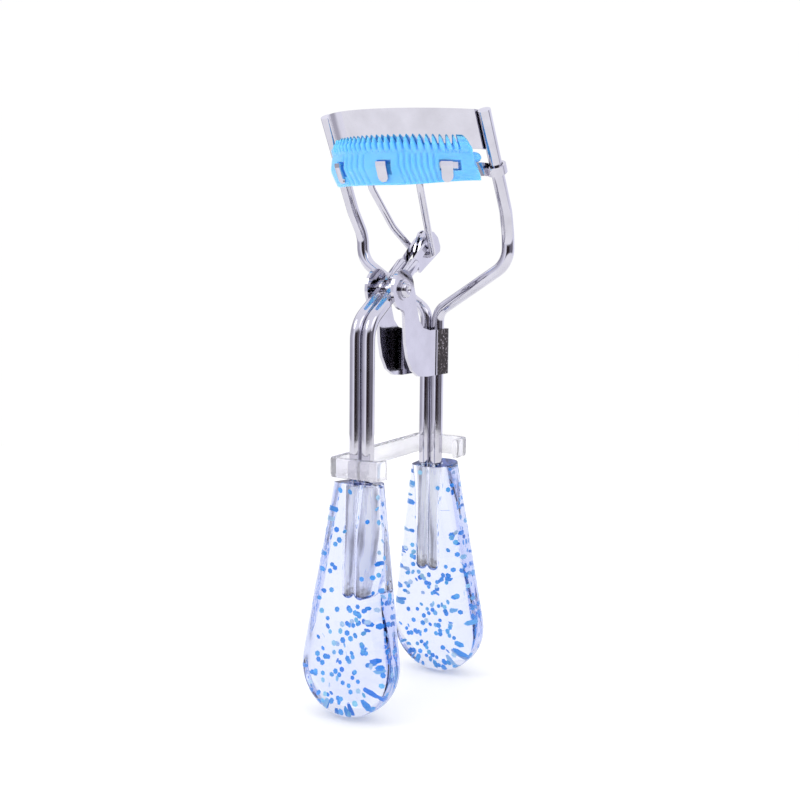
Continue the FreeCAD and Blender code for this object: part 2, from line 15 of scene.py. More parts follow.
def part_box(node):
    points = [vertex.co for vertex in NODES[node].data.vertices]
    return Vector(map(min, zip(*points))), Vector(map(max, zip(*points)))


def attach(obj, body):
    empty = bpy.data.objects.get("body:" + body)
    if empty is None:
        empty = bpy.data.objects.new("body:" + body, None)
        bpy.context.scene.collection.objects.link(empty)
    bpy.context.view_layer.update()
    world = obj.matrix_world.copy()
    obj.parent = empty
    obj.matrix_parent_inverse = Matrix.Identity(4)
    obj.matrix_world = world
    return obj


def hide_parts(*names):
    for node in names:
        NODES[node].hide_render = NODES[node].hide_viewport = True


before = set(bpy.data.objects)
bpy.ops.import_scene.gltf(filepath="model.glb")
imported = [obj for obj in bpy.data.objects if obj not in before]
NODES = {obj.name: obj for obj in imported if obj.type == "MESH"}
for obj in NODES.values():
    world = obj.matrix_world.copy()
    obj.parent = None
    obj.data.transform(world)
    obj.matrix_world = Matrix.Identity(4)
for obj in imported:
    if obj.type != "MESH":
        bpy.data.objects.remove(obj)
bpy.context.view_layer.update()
SCENE = bpy.context.scene
MM = 0.001
random.seed(11)


# ------------------------------------------------------------------ mesh helpers
def new_piece(name, verts, faces, mat, sharp=35):
    """A mesh object from vertices in millimetres, smooth except at sharp edges."""
    mesh = bpy.data.meshes.new(name)
    mesh.from_pydata([tuple(c * MM for c in v) for v in verts], [], faces)
    bm = bmesh.new()
    bm.from_mesh(mesh)
    bmesh.ops.remove_doubles(bm, verts=bm.verts, dist=1e-7)
    bmesh.ops.recalc_face_normals(bm, faces=bm.faces)
    bm.to_mesh(mesh)
    bm.free()
    return link_mesh(name, mesh, mat, sharp)


def link_mesh(name, mesh, mat, sharp):
    """An object for a mesh, with one material and smooth shading up to an angle."""
    for poly in mesh.polygons:
        poly.use_smooth = True
    mesh.set_sharp_from_angle(angle=math.radians(sharp))
    mesh.materials.clear()
    mesh.materials.append(mat)
    obj = bpy.data.objects.new(name, mesh)
    SCENE.collection.objects.link(obj)
    return obj


def loft(rings, closed=False):
    """Vertices and quads through equal rings; the ends are capped unless closed."""
    n = len(rings[0])
    verts = [p for ring in rings for p in ring]
    faces = []
    spans = len(rings) if closed else len(rings) - 1
    for i in range(spans):
        a, b = i * n, (i + 1) % len(rings) * n
        faces += [(a + k, a + (k + 1) % n, b + (k + 1) % n, b + k) for k in range(n)]
    if not closed:
        faces += [tuple(range(n)), tuple(range(len(verts) - n, len(verts)))]
    return verts, faces


def applied(obj):
    """The object's mesh with its modifiers applied."""
    graph = bpy.context.evaluated_depsgraph_get()
    return bpy.data.meshes.new_from_object(obj.evaluated_get(graph), depsgraph=graph)


def ease(x):
    """A smooth step from 0 to 1 as x goes from 0 to 1."""
    x = min(1.0, max(0.0, x))
    return x * x * (3 - 2 * x)


# ------------------------------------------------------------------ node helpers
class Nodes:
    """Short ways to add nodes to a shader tree."""

    def __init__(self, tree, coords):
        self.tree = tree
        self.coords = tree.nodes.new("ShaderNodeTexCoord").outputs[coords]

    def put(self, socket, value):
        """Link another node's output to a socket, or set the socket's own value."""
        if isinstance(value, bpy.types.NodeSocket):
            self.tree.links.new(value, socket)
        else:
            socket.default_value = value

    def node(self, kind, inputs=None, **settings):
        """A new node with its settings and inputs."""
        made = self.tree.nodes.new(kind)
        for key, value in settings.items():
            setattr(made, key, value)
        for key, value in (inputs or {}).items():
            self.put(made.inputs[key], value)
        return made

    def calc(self, operation, *terms):
        """A Math node's result; each term is a number or another node's output."""
        return self.node("ShaderNodeMath", dict(enumerate(terms)), operation=operation).outputs[0]

    def axis(self, name):
        return self.node("ShaderNodeSeparateXYZ", {"Vector": self.coords}).outputs[name]

    def ramp(self, factor, stops):
        """A colour ramp of (place, colour) stops."""
        made = self.node("ShaderNodeValToRGB", {"Fac": factor})
        points = made.color_ramp.elements
        while len(points) < len(stops):
            points.new(0.5)
        for point, (place, colour) in zip(points, stops):
            point.position = place
            point.color = (*colour, 1.0)
        return made.outputs["Color"]

    def span(self, value, low, high, from_low=0.3, from_high=0.7, blend="LINEAR"):
        """A value mapped to low at from_low and to high at from_high."""
        made = self.node("ShaderNodeMapRange", {
            "Value": value, "From Min": from_low, "From Max": from_high,
            "To Min": low, "To Max": high}, interpolation_type=blend)
        return made.outputs["Result"]

    def mix(self, factor, first, second):
        """A mix of two colours, each a tuple of four or another node's output."""
        made = self.node("ShaderNodeMix", {"Factor": factor, 6: first, 7: second}, data_type="RGBA")
        return made.outputs[2]


class Shader(Nodes):
    """A material with one Principled shader; named values go on the shader's own sockets."""

    def __init__(self, name, **values):
        self.mat = bpy.data.materials.new(name)
        self.mat.use_nodes = True
        super().__init__(self.mat.node_tree, "Object")
        self.bsdf = self.tree.nodes["Principled BSDF"]
        for key, value in values.items():
            self.bsdf.inputs[key.replace("_", " ")].default_value = value

    def noise(self, scale, detail=4.0, stretch=(1.0, 1.0, 1.0)):
        """Noise in the object's own coordinates, drawn out along the axes of a small stretch."""
        place = self.node("ShaderNodeMapping", {"Vector": self.coords, "Scale": stretch})
        made = self.node("ShaderNodeTexNoise", {
            "Vector": place.outputs["Vector"], "Scale": scale, "Detail": detail})
        return made.outputs["Fac"]

    def feed(self, socket, source):
        self.tree.links.new(source, self.bsdf.inputs[socket])

    def bump(self, height, strength, distance):
        made = self.node("ShaderNodeBump", {
            "Height": height, "Strength": strength, "Distance": distance})
        self.feed("Normal", made.outputs["Normal"])


# ------------------------------------------------------------------ materials
# the stretch along Y where the bracket is squeezed round the rear wires; it gets a painted dark
# reflection
CRIMP_START, CRIMP_END = 8.9 * MM, 13.4 * MM
# the heights between which the glue in the sockets turns from dirty to clean
DIRT_LOW, DIRT_HIGH = 24.6 * MM, 27.4 * MM


def chrome(name, rough=(0.035, 0.10), wobble=0.08, crimp_reflection_painted=False):
    """Bright plating: cloudy polish, faint drawing lines and a slight wobble; on the bracket's
    crimp, a painted dark reflection when asked for.
    """
    s = Shader(name, Metallic=1.0)
    plating = s.ramp(s.noise(260.0), [(0.3, (0.52, 0.51, 0.57)), (0.7, (0.60, 0.59, 0.66))])
    # painted dark reflection: the crimp's faces are darkened as if they mirrored the room's dark
    # side
    if crimp_reflection_painted:
        plating = s.mix(painted_reflection_mask(s), plating, painted_dark_reflection(s))
    s.feed("Base Color", plating)
    lines = s.noise(900.0, 3.0, stretch=(1.0, 1.0, 0.05))
    s.feed("Roughness", s.span(lines, *rough))
    s.bump(s.noise(420.0, 2.0), wobble, 0.00004)
    return s.mat


def painted_reflection_mask(s):
    """Where the painted dark reflection goes: 1 on the part of the bracket squeezed round the wires,
    and 0 elsewhere.
    """
    y = s.axis("Y")
    starts = s.span(y, 0.0, 1.0, CRIMP_START - 0.1 * MM, CRIMP_START + 0.3 * MM)
    ends = s.span(y, 1.0, 0.0, CRIMP_END, CRIMP_END + 0.5 * MM)
    return s.calc("MULTIPLY", starts, ends)


def painted_dark_reflection(s):
    """Painted dark reflection: near-black metal speckled with bright flecks."""
    return s.ramp(s.noise(2600.0, 3.0), [
        (0.46, (0.012, 0.008, 0.008)), (0.60, (0.045, 0.032, 0.030)), (0.72, (0.50, 0.47, 0.50))])


def silicone():
    """Soft blue rubber, which light enters a little, with a fine moulded grain and a faint painted
    glow that lightens its shaded sides.
    """
    # painted glow: a faint blue emission lightens the shade between the fins
    s = Shader("blue_silicone", IOR=1.42, Sheen_Weight=0.12, Sheen_Roughness=0.4,
               Subsurface_Weight=1.0, Subsurface_Radius=(0.35, 0.6, 1.0), Subsurface_Scale=0.0022,
               Emission_Color=(0.07, 0.42, 1.0, 1.0), Emission_Strength=0.16)
    stops = [(0.25, (0.13, 0.46, 0.92)), (0.75, (0.19, 0.52, 0.96))]
    s.feed("Base Color", s.ramp(s.noise(180.0), stops))
    s.feed("Roughness", s.span(s.noise(500.0), 0.36, 0.5))
    s.bump(s.noise(3500.0, 2.0), 0.18, 0.00003)
    return s.mat


def acrylic():
    """Clear cast handles: faintly blue in depth, with a slow ripple on the skin."""
    s = Shader("clear_acrylic", IOR=1.47, Transmission_Weight=1.0)
    stops = [(0.3, (0.93, 0.95, 1.0)), (0.7, (0.99, 0.99, 1.0))]
    s.feed("Base Color", s.ramp(s.noise(90.0), stops))
    s.feed("Roughness", s.span(s.noise(700.0), 0.0, 0.03))
    s.bump(s.noise(140.0, 2.0), 0.25, 0.00015)
    depth = s.node("ShaderNodeVolumeAbsorption", {
        "Density": 62.0, "Color": (0.46, 0.54, 0.87, 1.0)})
    s.tree.links.new(depth.outputs[0], s.tree.nodes["Material Output"].inputs["Volume"])
    return s.mat


def adhesive():
    """Cloudy glue with streaks along the wires, a dirty grey lower end and a painted glow in its own
    colour that lightens it.
    """
    # painted glow: a weak emission in the glue's colour stands in for light that reaches it through
    # the handle
    s = Shader("adhesive", IOR=1.5, Transmission_Weight=0.15, Emission_Strength=0.16)
    streak = s.noise(900.0, 5.0, stretch=(1.0, 1.0, 0.09))
    tint = s.ramp(streak, [(0.38, (0.42, 0.41, 0.46)), (0.47, (0.86, 0.86, 0.93)),
                           (0.56, (1.0, 1.0, 1.0))])
    height = s.calc("MULTIPLY_ADD", s.noise(1500.0), 6.0 * MM, s.axis("Z"))
    clean = s.span(height, 0.0, 1.0, DIRT_LOW, DIRT_HIGH)
    colour = s.mix(clean, (0.13, 0.10, 0.09, 1.0), tint)
    s.feed("Base Color", colour)
    # the painted glow takes the glue's own colour
    s.feed("Emission Color", colour)
    s.feed("Roughness", s.span(streak, 0.10, 0.42))
    s.bump(streak, 0.5, 0.0002)
    return s.mat


def foil():
    """Foil flakes, each its own blue, with a painted blue glow that brightens them; the palest
    flakes are painted nearly white as glints.
    """
    # painted glow: a weak blue emission lifts the flakes inside the handle
    s = Shader("glitter_foil", Metallic=0.15,
               Emission_Color=(0.03, 0.30, 1.0, 1.0), Emission_Strength=0.14)
    own = s.node("ShaderNodeNewGeometry").outputs["Random Per Island"]
    # the top stops are painted glints: a few flakes nearly white, the rest true blues
    s.feed("Base Color", s.ramp(own, [
        (0.0, (0.04, 0.33, 0.92)), (0.35, (0.07, 0.43, 1.0)), (0.65, (0.13, 0.58, 1.0)),
        (0.84, (0.34, 0.84, 1.0)), (1.0, (0.85, 1.0, 1.0))]))
    s.feed("Roughness", s.span(s.noise(2500.0), 0.15, 0.35))
    return s.mat


def soft_plastic():
    """Clear flexible plastic with a cloudy, slightly uneven skin."""
    s = Shader("clear_soft_plastic", IOR=1.45, Transmission_Weight=0.85)
    stops = [(0.3, (0.90, 0.89, 0.96)), (0.7, (0.97, 0.97, 1.0))]
    s.feed("Base Color", s.ramp(s.noise(240.0), stops))
    s.feed("Roughness", s.span(s.noise(420.0, 5.0), 0.06, 0.16))
    s.bump(s.noise(330.0, 3.0), 0.05, 0.0001)
    return s.mat


def pale_table():
    """The matt table top, lit a little from within so that it stays nearly white."""
    s = Shader("pale_floor", Roughness=0.7, Specular_IOR_Level=0.1,
               Emission_Color=(1.0, 1.0, 1.0, 1.0), Emission_Strength=0.22)
    stops = [(0.3, (0.86, 0.86, 0.87)), (0.7, (0.90, 0.90, 0.91))]
    s.feed("Base Color", s.ramp(s.noise(3.0), stops))
    return s.mat


CHROME = chrome("chrome_wire")
CHROME_SHEET = chrome("chrome_sheet", rough=(0.05, 0.14), wobble=0.12)
CHROME_PAINTED_CRIMP_REFLECTION = chrome("chrome_painted_crimp_reflection", rough=(0.05, 0.14), wobble=0.12, crimp_reflection_painted=True)
SILICONE = silicone()
ACRYLIC = acrylic()
ADHESIVE = adhesive()
FOIL = foil()
SOFT_PLASTIC = soft_plastic()

NODE_MATERIALS = {
    "pivot_bracket": CHROME_PAINTED_CRIMP_REFLECTION,
    "upper_plate": CHROME_SHEET, "moving_jaw": CHROME_SHEET, "yoke_saddle": CHROME_SHEET,
    "pivot_washer_left": CHROME_SHEET, "pivot_washer_right": CHROME_SHEET,
    "front_handle": ACRYLIC, "rear_handle": ACRYLIC,
    "front_adhesive": ADHESIVE, "rear_adhesive": ADHESIVE,
}
for name, obj in NODES.items():
    obj.data.materials.clear()
    obj.data.materials.append(NODE_MATERIALS.get(name, CHROME))

# ------------------------------------------------------------------ silicone pad
PAD_HEIGHT = 6.05
PAD_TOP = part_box("lash_pad")[0][2] / MM + PAD_HEIGHT
PAD_HALF = 51.7
ARC_Y = 13.87
TAN_FIN = math.tan(math.radians(28.1))
TAN_JAW = math.tan(math.radians(11.5))

# the right end reaches further at the foot than at the top, and the foot lifts towards it
END_HIGH, END_LOW, END_SLANT_FROM = 47.3, 51.4, 40.0
SLANT_TOP, SLANT_HEIGHT = -2.3, 3.0
LIFT, LIFT_FROM, LIFT_TOP, LIFT_HEIGHT = 0.95, 4.0, -3.6, 2.4

# the comb's slots, counted from the right; fins stand between them
SLOT_PITCH, SLOT_LAST, SLOTS = 3.693, 41.4, 23
SLOT_HALF = 0.62
SLOT_FLOOR_RISE = 0.42
FIN_HALF = SLOT_PITCH / 2 - SLOT_HALF
COMB_LEFT = SLOT_LAST - (SLOTS - 1) * SLOT_PITCH
LEFT_SHARE, LEFT_RUN, LEFT_STEP = 0.62, 3.2, 2.0

# the pad's section as radius and height above its top. The body goes from the back round to
# the front, with points along its straight runs for the grooves and the slanted end. The comb's
# two outlines, on a fin and on a slot's floor, match point by point. The shelf is behind it.
BODY = [
    (17.60, -0.02), (17.44, -0.20), (17.42, -1.20), (17.42, -2.40), (17.46, -3.35),
    (17.65, -3.60), (18.05, -3.60), (18.20, -3.40), (18.20, -2.60), (18.20, -1.95),
    (18.32, -1.84), (18.98, -1.84), (19.07, -1.96), (19.07, -3.20), (19.07, -4.50),
    (19.07, -5.80), (19.22, -6.02), (19.70, -6.03), (19.93, -5.90), (20.08, -5.50),
    (20.26, -5.00), (20.44, -4.50), (20.62, -4.00), (20.78, -3.50), (20.87, -3.15),
    (20.88, -2.85), (20.82, -2.45), (20.73, -2.00), (20.62, -1.50), (20.51, -1.00),
    (20.40, -0.60), (20.30, -0.35),
]
FIN_HIGH = [
    (20.36, -0.10), (20.44, 0.22), (20.47, 0.60), (20.46, 0.95), (20.41, 1.20), (20.28, 1.42),
    (20.08, 1.56), (19.94, 1.74), (19.82, 1.98), (19.70, 2.22), (19.56, 2.42), (19.42, 2.50),
    (19.29, 2.42), (19.20, 2.15),
]
FIN_LOW = [
    (20.28, -0.15), (20.25, 0.00), (20.20, 0.10), (20.12, 0.18), (20.03, 0.27), (19.94, 0.37),
    (19.85, 0.48), (19.76, 0.59), (19.66, 0.70), (19.55, 0.81), (19.45, 0.90), (19.35, 0.97),
    (19.27, 1.00), (19.20, 0.96),
]
SHELF = [(19.12, 0.00), (18.60, -0.02), (18.00, -0.02)]
FIN_TIP, FIN_SHOULDER, FIN_FRONT = 2.5, 1.1, 19.9
FIN_TAPER, FIN_FRONT_ROUND, FIN_TOP_ROUND = 0.46, 0.24, 0.28
BLOCK_ROUND_FROM, BLOCK_ROUND, BLOCK_FALL = 47.2, 4.6, 0.75

# where the sections stand: at these steps from each slot's middle, and evenly along the pad
SECTION_STEPS = (0.30, 0.50, 0.61, 0.625, 0.72, 0.90, 1.15, 1.50)
SECTIONS = 300

# two sets of upright grooves on the front
GROOVES = [-29.9, -25.6, -21.1, -16.7, -12.3] + [9.0 + 3.0 * k for k in range(7)]
GROOVE_TOP, GROOVE_FOOT = -0.25, -6.1
GROOVE_WIDTH, GROOVE_DEPTH, GROOVE_BEND = 0.28, 0.36, 0.75
FRONT_RADIUS, FRONT_FROM = 20.5, 19.6
BELLY = -2.7

# the core's rounded end, as angle and radius
KNOB = ((46.0, 0.86), (49.6, 0.95), (51.1, 0.92), (52.3, 0.80), (53.2, 0.60), (53.8, 0.36),
        (54.0, 0.08))
KNOB_RADIUS, KNOB_DROP = 18.42, 0.98

# each tab's opening: its two angles, the radius it goes in to and its foot's drop
WINDOWS = ((-36.5, -28.4, 19.5, 4.34), (-3.3, 4.9, 19.5, 4.24), (29.7, 40.6, 19.03, 3.49))
WINDOW_DROP = 1.62
WINDOW_OUT = 22.5


def arc_point(radius, angle, z):
    """A point of the jaw's arc; the fins lean with the plate, the rest with the jaw."""
    a = math.radians(angle)
    rise = z - PAD_TOP
    lean = TAN_FIN if rise > 0 else TAN_JAW
    return (radius * math.sin(a), ARC_Y - lean * rise - radius * math.cos(a), z)


def groove(angle, z):
    """Depth factor of the grooves, which fade at top and foot and bend below the belly."""
    fade = ease((GROOVE_TOP - z) / 0.5) * ease((z - GROOVE_FOOT) / 0.6)
    bend = GROOVE_BEND * max(0.0, BELLY - z) / 3.0
    total = 0.0
    for middle in GROOVES:
        off = math.radians(angle - middle) * FRONT_RADIUS - bend
        total += math.exp(-(off / GROOVE_WIDTH) ** 2)
    return total * fade


def end_angle(angle, z):
    """An angle drawn in near the right end, which slants."""
    if angle <= END_SLANT_FROM:
        return angle
    reach = END_HIGH + (END_LOW - END_HIGH) * ease((SLANT_TOP - z) / SLANT_HEIGHT) ** 0.8
    share = (reach - END_SLANT_FROM) / (PAD_HALF - END_SLANT_FROM)
    return END_SLANT_FROM + (angle - END_SLANT_FROM) * share


def comb(angle):
    """Fin share, offset from the fin's middle and floor rise of a spot along the comb."""
    if angle > SLOT_LAST + SLOT_HALF:
        return 1.0, None, 0.0
    if angle < COMB_LEFT - SLOT_HALF:
        grown = ease((angle - COMB_LEFT + LEFT_RUN) / LEFT_STEP)
        return LEFT_SHARE + (1 - LEFT_SHARE) * grown, None, 0.0
    place = (SLOT_LAST - angle) / SLOT_PITCH
    off = (place - round(place)) * SLOT_PITCH
    if abs(off) < SLOT_HALF - 0.005:
        return 0.0, None, SLOT_FLOOR_RISE * abs(off / SLOT_HALF) ** 3
    return 1.0, (math.floor(place) + 0.5 - place) * SLOT_PITCH, 0.0


def comb_points(angle):
    """The comb's part of a section: angle, radius and height of each point."""
    share, off, rise = comb(angle)
    points = []
    for (r1, z1), (r0, z0) in zip(FIN_HIGH, FIN_LOW):
        r, z, a = r0 + (r1 - r0) * share, z0 + rise + (z1 - z0) * share, angle
        if off is not None:
            # a fin is rounded across, and narrows to its tip
            edge = abs(off) / FIN_HALF
            up = max(0.0, z1 - FIN_SHOULDER) / (FIN_TIP - FIN_SHOULDER)
            a -= off * FIN_TAPER * up
            if r1 > FIN_FRONT:
                r -= FIN_FRONT_ROUND * edge ** 3
            z -= FIN_TOP_ROUND * edge ** 2 * up
        elif angle > SLOT_LAST:
            # the block past the last slot comes down in a round to the right end
            past = min(1.0, max(0.0, (angle - BLOCK_ROUND_FROM) / BLOCK_ROUND))
            z -= max(0.0, z1) * BLOCK_FALL * (1 - math.sqrt(1 - past ** 2))
        points.append((a, r, z))
    return points


def pad_angles():
    """Where the pad's sections stand: close together at the slots' walls, even elsewhere."""
    marks = []
    for i in range(SLOTS):
        middle = SLOT_LAST - i * SLOT_PITCH
        marks += [middle, middle - SLOT_PITCH / 2]
        for off in SECTION_STEPS:
            marks += [middle - off, middle + off]
    inside = [m for m in marks if abs(m) < PAD_HALF - 0.05]
    even = [-PAD_HALF + i * 2 * PAD_HALF / SECTIONS for i in range(SECTIONS + 1)]
    return sorted(inside + [a for a in even if min(abs(a - m) for m in inside) > 0.1])


def pad_ring(angle):
    """The pad's section at an angle; its foot lifts towards the right end."""
    lift = LIFT * ease((angle - LIFT_FROM) / 50.0)
    ring = []
    for r, z in BODY:
        z += lift * ease((LIFT_TOP - z) / LIFT_HEIGHT)
        if r > FRONT_FROM:
            r -= GROOVE_DEPTH * groove(angle, z)
        ring.append(arc_point(r, end_angle(angle, z), PAD_TOP + z))
    for a, r, z in comb_points(angle):
        ring.append(arc_point(r, end_angle(a, z), PAD_TOP + z))
    return ring + [arc_point(r, end_angle(angle, 0), PAD_TOP + z) for r, z in SHELF]


def sector_block(r_in, r_out, angle0, angle1, z0, z1):
    """A block of the arc between two radii, two angles and two heights."""
    corners = ((r_in, z0), (r_out, z0), (r_out, z1), (r_in, z1))
    steps = 10
    rings = []
    for i in range(steps + 1):
        angle = angle0 + (angle1 - angle0) * i / steps
        rings.append([arc_point(r, angle, z) for r, z in corners])
    return loft(rings)


def build_pad():
    """The moulded pad, with an opening cut for each of the jaw's tabs."""
    verts, faces = loft([pad_ring(a) for a in pad_angles()])
    blank = new_piece("pad_blank", verts, faces, SILICONE)
    cutters = []
    for i, (left, right, depth, drop) in enumerate(WINDOWS):
        verts, faces = sector_block(depth, WINDOW_OUT, left, right, PAD_TOP - drop,
                                    PAD_TOP - WINDOW_DROP)
        cutter = new_piece("window_cutter_%d" % i, verts, faces, SILICONE)
        cut = blank.modifiers.new("window_%d" % i, "BOOLEAN")
        cut.object = cutter
        cut.operation = "DIFFERENCE"
        cut.solver = "EXACT"
        cutters.append(cutter)
    mesh = applied(blank)
    for obj in cutters + [blank]:
        bpy.data.objects.remove(obj)
    return link_mesh("silicone_pad", mesh, SILICONE, sharp=40)


def build_pad_knob():
    """The rounded end of the pad's core, which shows past the comb."""
    turns = [2 * math.pi * k / 20 for k in range(20)]
    middle = PAD_TOP - KNOB_DROP
    rings = [[arc_point(KNOB_RADIUS + radius * math.cos(a), angle, middle + radius * math.sin(a))
              for a in turns] for angle, radius in KNOB]
    verts, faces = loft(rings)
    return new_piece("silicone_pad_end", verts, faces, SILICONE, sharp=60)


pad = build_pad()
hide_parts("lash_pad")
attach(pad, "jaw")
pad_knob = build_pad_knob()
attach(pad_knob, "jaw")

# ------------------------------------------------------------------ rivet
RIVET_LOW, RIVET_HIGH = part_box("pivot_rivet")
RIVET_Y = (RIVET_LOW[1] + RIVET_HIGH[1]) / 2 / MM
RIVET_Z = (RIVET_LOW[2] + RIVET_HIGH[2]) / 2 / MM
RIVET_END = RIVET_HIGH[0] / MM

# a head from its dimple out to its rim and in to the shank: depth below its crown, and radius
RIVET_HEAD = [
    (0.42, 0.0), (0.38, 0.28), (0.22, 0.50), (0.04, 0.66), (0.0, 0.82), (0.05, 1.02),
    (0.20, 1.26), (0.42, 1.45), (0.62, 1.53), (0.75, 1.54), (0.75, 0.95),
]


def build_rivet():
    """A turned rivet with rounded heads and a dimple punched in each."""
    head = [(RIVET_END - depth, r) for depth, r in RIVET_HEAD]
    outline = head + [(-x, r) for x, r in reversed(head)]
    steps = 48
    rings = []
    for i in range(steps):
        a = 2 * math.pi * i / steps
        rings.append([(x, RIVET_Y + r * math.cos(a), RIVET_Z + r * math.sin(a)) for x, r in outline])
    verts, faces = loft(rings, closed=True)
    return new_piece("rivet_turned", verts, faces, CHROME_SHEET, sharp=40)


rivet = build_rivet()
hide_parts("pivot_rivet")
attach(rivet, "frame")

# ------------------------------------------------------------------ clip
CLIP_LOW, CLIP_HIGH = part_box("retaining_clip")
CLIP_WALL = 1.35
CLIP_CORNER = 0.95
CLIP_LIP, CLIP_HOOK = 2.3, 4.0
CLIP_HOOK_OUT = 0.4
CLIP_RISE = 0.6
# how thick the strap is at its end, one step in and from there on
CLIP_SWELL = (0.72, 0.9, 1.0)
CLIP_FILL = 0.93
CLIP_STEP = 0.8
CLIP_SQUARENESS = 0.35


def rounded_path(points, radius, steps=7):
    """A plan path with its corners rounded."""
    path = [Vector(points[0])]
    for before, corner, after in zip(points, points[1:], points[2:]):
        corner = Vector(corner)
        a = (Vector(before) - corner).normalized()
        b = (Vector(after) - corner).normalized()
        start, end = corner + a * radius, corner + b * radius
        for i in range(steps + 1):
            t = i / steps
            path.append((1 - t) ** 2 * start + 2 * t * (1 - t) * corner + t * t * end)
    return path + [Vector(points[-1])]


def divided(path, step):
    """A path with points added, no more than about a step apart."""
    dense = [path[0]]
    for end in path[1:]:
        start = dense[-1]
        parts = max(1, int((end - start).length / step))
        dense += [start.lerp(end, k / parts) for k in range(1, parts + 1)]
    return dense


def squarish(turn):
    """The cosine and sine of an angle, drawn out towards a square's corners."""
    return [math.copysign(abs(c) ** CLIP_SQUARENESS, c) for c in (math.cos(turn), math.sin(turn))]


def build_clip():
    """A moulded strap with rounded edges, tapered at its two ends and rising to the rear."""
    x0, y0 = CLIP_LOW[0] / MM + CLIP_WALL / 2, CLIP_LOW[1] / MM + CLIP_WALL / 2
    x1, y1 = CLIP_HIGH[0] / MM - CLIP_WALL / 2, CLIP_HIGH[1] / MM - CLIP_WALL / 2
    z0, z1 = CLIP_LOW[2] / MM, CLIP_HIGH[2] / MM
    hook = x1 + CLIP_HOOK_OUT
    corners = [(x1, y0 + CLIP_LIP), (x1, y0), (x0, y0), (x0, y1), (hook, y1), (hook, y1 - CLIP_HOOK)]
    path = divided(rounded_path(corners, CLIP_CORNER), CLIP_STEP)
    middle, half_height = (z0 + z1) / 2, (z1 - z0) / 2
    last = len(path) - 1
    rings = []
    for i, p in enumerate(path):
        ahead = path[min(i + 1, last)] - path[max(i - 1, 0)]
        side = Vector((ahead.y, -ahead.x)).normalized()
        swell = CLIP_SWELL[min(i, last - i, 2)]
        high = half_height * (0.96 + 0.04 * swell) * CLIP_FILL
        ring = []
        for k in range(20):
            out, up = squarish(2 * math.pi * (k + 0.5) / 20)
            q = p + side * (out * CLIP_WALL / 2 * swell)
            rise = CLIP_RISE * (q.y - y0) / (y1 - y0)
            ring.append((q.x, q.y, middle + up * high + rise))
        rings.append(ring)
    verts, faces = loft(rings)
    return new_piece("clip_strap", verts, faces, SOFT_PLASTIC, sharp=60)


clip = build_clip()
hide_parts("retaining_clip")
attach(clip, "clip")

# ------------------------------------------------------------------ glitter
# a handle: a paddle whose half width grows from its top to a round end
TOP_HALF, ROUND_HALF, HANDLE_LENGTH = 4.3, 9.5, 42.9
HANDLE_THICK, HANDLE_RIM = 7.8, 3.1
HANDLE_TOP_Z = 42.85
HANDLE_TOPS = {"lever": (-0.25, -12.95), "frame": (0.6, 13.15)}
HANDLE_TILT = math.radians(4.2)
FLAKE_GAP, FLAKE_THICK = 0.95, 0.04
SMALL_FLAKE, LARGE_FLAKE = 0.44, 0.60
FLAKE_TIP = 27
# how far the flakes keep from the handle's edge, faces, top and foot
EDGE_CLEAR, FACE_CLEAR, TOP_CLEAR, FOOT_CLEAR = 0.8, 0.65, 1.0, 1.2
# the space round the socket that they stay out of, which deepens downwards
SOCKET_FLOOR, SOCKET_HALF, SOCKET_DEPTH, SOCKET_TAPER = 20.2, 3.4, 2.3, 0.075


def half_width(drop):
    """The paddle's half width at a distance below its top."""
    round_start = HANDLE_LENGTH - ROUND_HALF
    if drop > round_start:
        return math.sqrt(max(0.0, ROUND_HALF ** 2 - (drop - round_start) ** 2))
    share = drop / round_start
    return TOP_HALF + (ROUND_HALF - TOP_HALF) * share


def flake_spots(count):
    """Seeded spots inside a handle, clear of its skin, its socket and each other."""
    spots = []
    while len(spots) < count:
        drop = HANDLE_LENGTH * random.random() ** 0.8
        wide = half_width(drop) - EDGE_CLEAR
        if drop < TOP_CLEAR or wide < 0.5 or drop > HANDLE_LENGTH - FOOT_CLEAR:
            continue
        x = random.uniform(-wide, wide)
        edge = min(1.0, (wide - abs(x)) / HANDLE_RIM)
        thick = (HANDLE_THICK / 2 - FACE_CLEAR) * math.sqrt(1 - (1 - edge) ** 2) * 0.97
        y = random.uniform(-thick, thick)
        beside_socket = HANDLE_TOP_Z - drop > SOCKET_FLOOR
        if beside_socket and abs(x) < SOCKET_HALF and abs(y) < SOCKET_DEPTH + SOCKET_TAPER * drop:
            continue
        spot = Vector((x, y, -drop))
        if all((spot - other).length > FLAKE_GAP for other in spots):
            spots.append(spot)
    return spots


def hexagon(radius):
    """The corners and faces of a thin six-sided plate lying across Y."""
    corners = []
    for y in (-FLAKE_THICK / 2, FLAKE_THICK / 2):
        for k in range(6):
            a = math.pi / 3 * k
            corners.append(Vector((radius * math.cos(a), y, radius * math.sin(a))))
    sides = [(k, 6 + k, 6 + (k + 1) % 6, (k + 1) % 6) for k in range(6)]
    return corners, [tuple(range(6)), tuple(reversed(range(6, 12)))] + sides


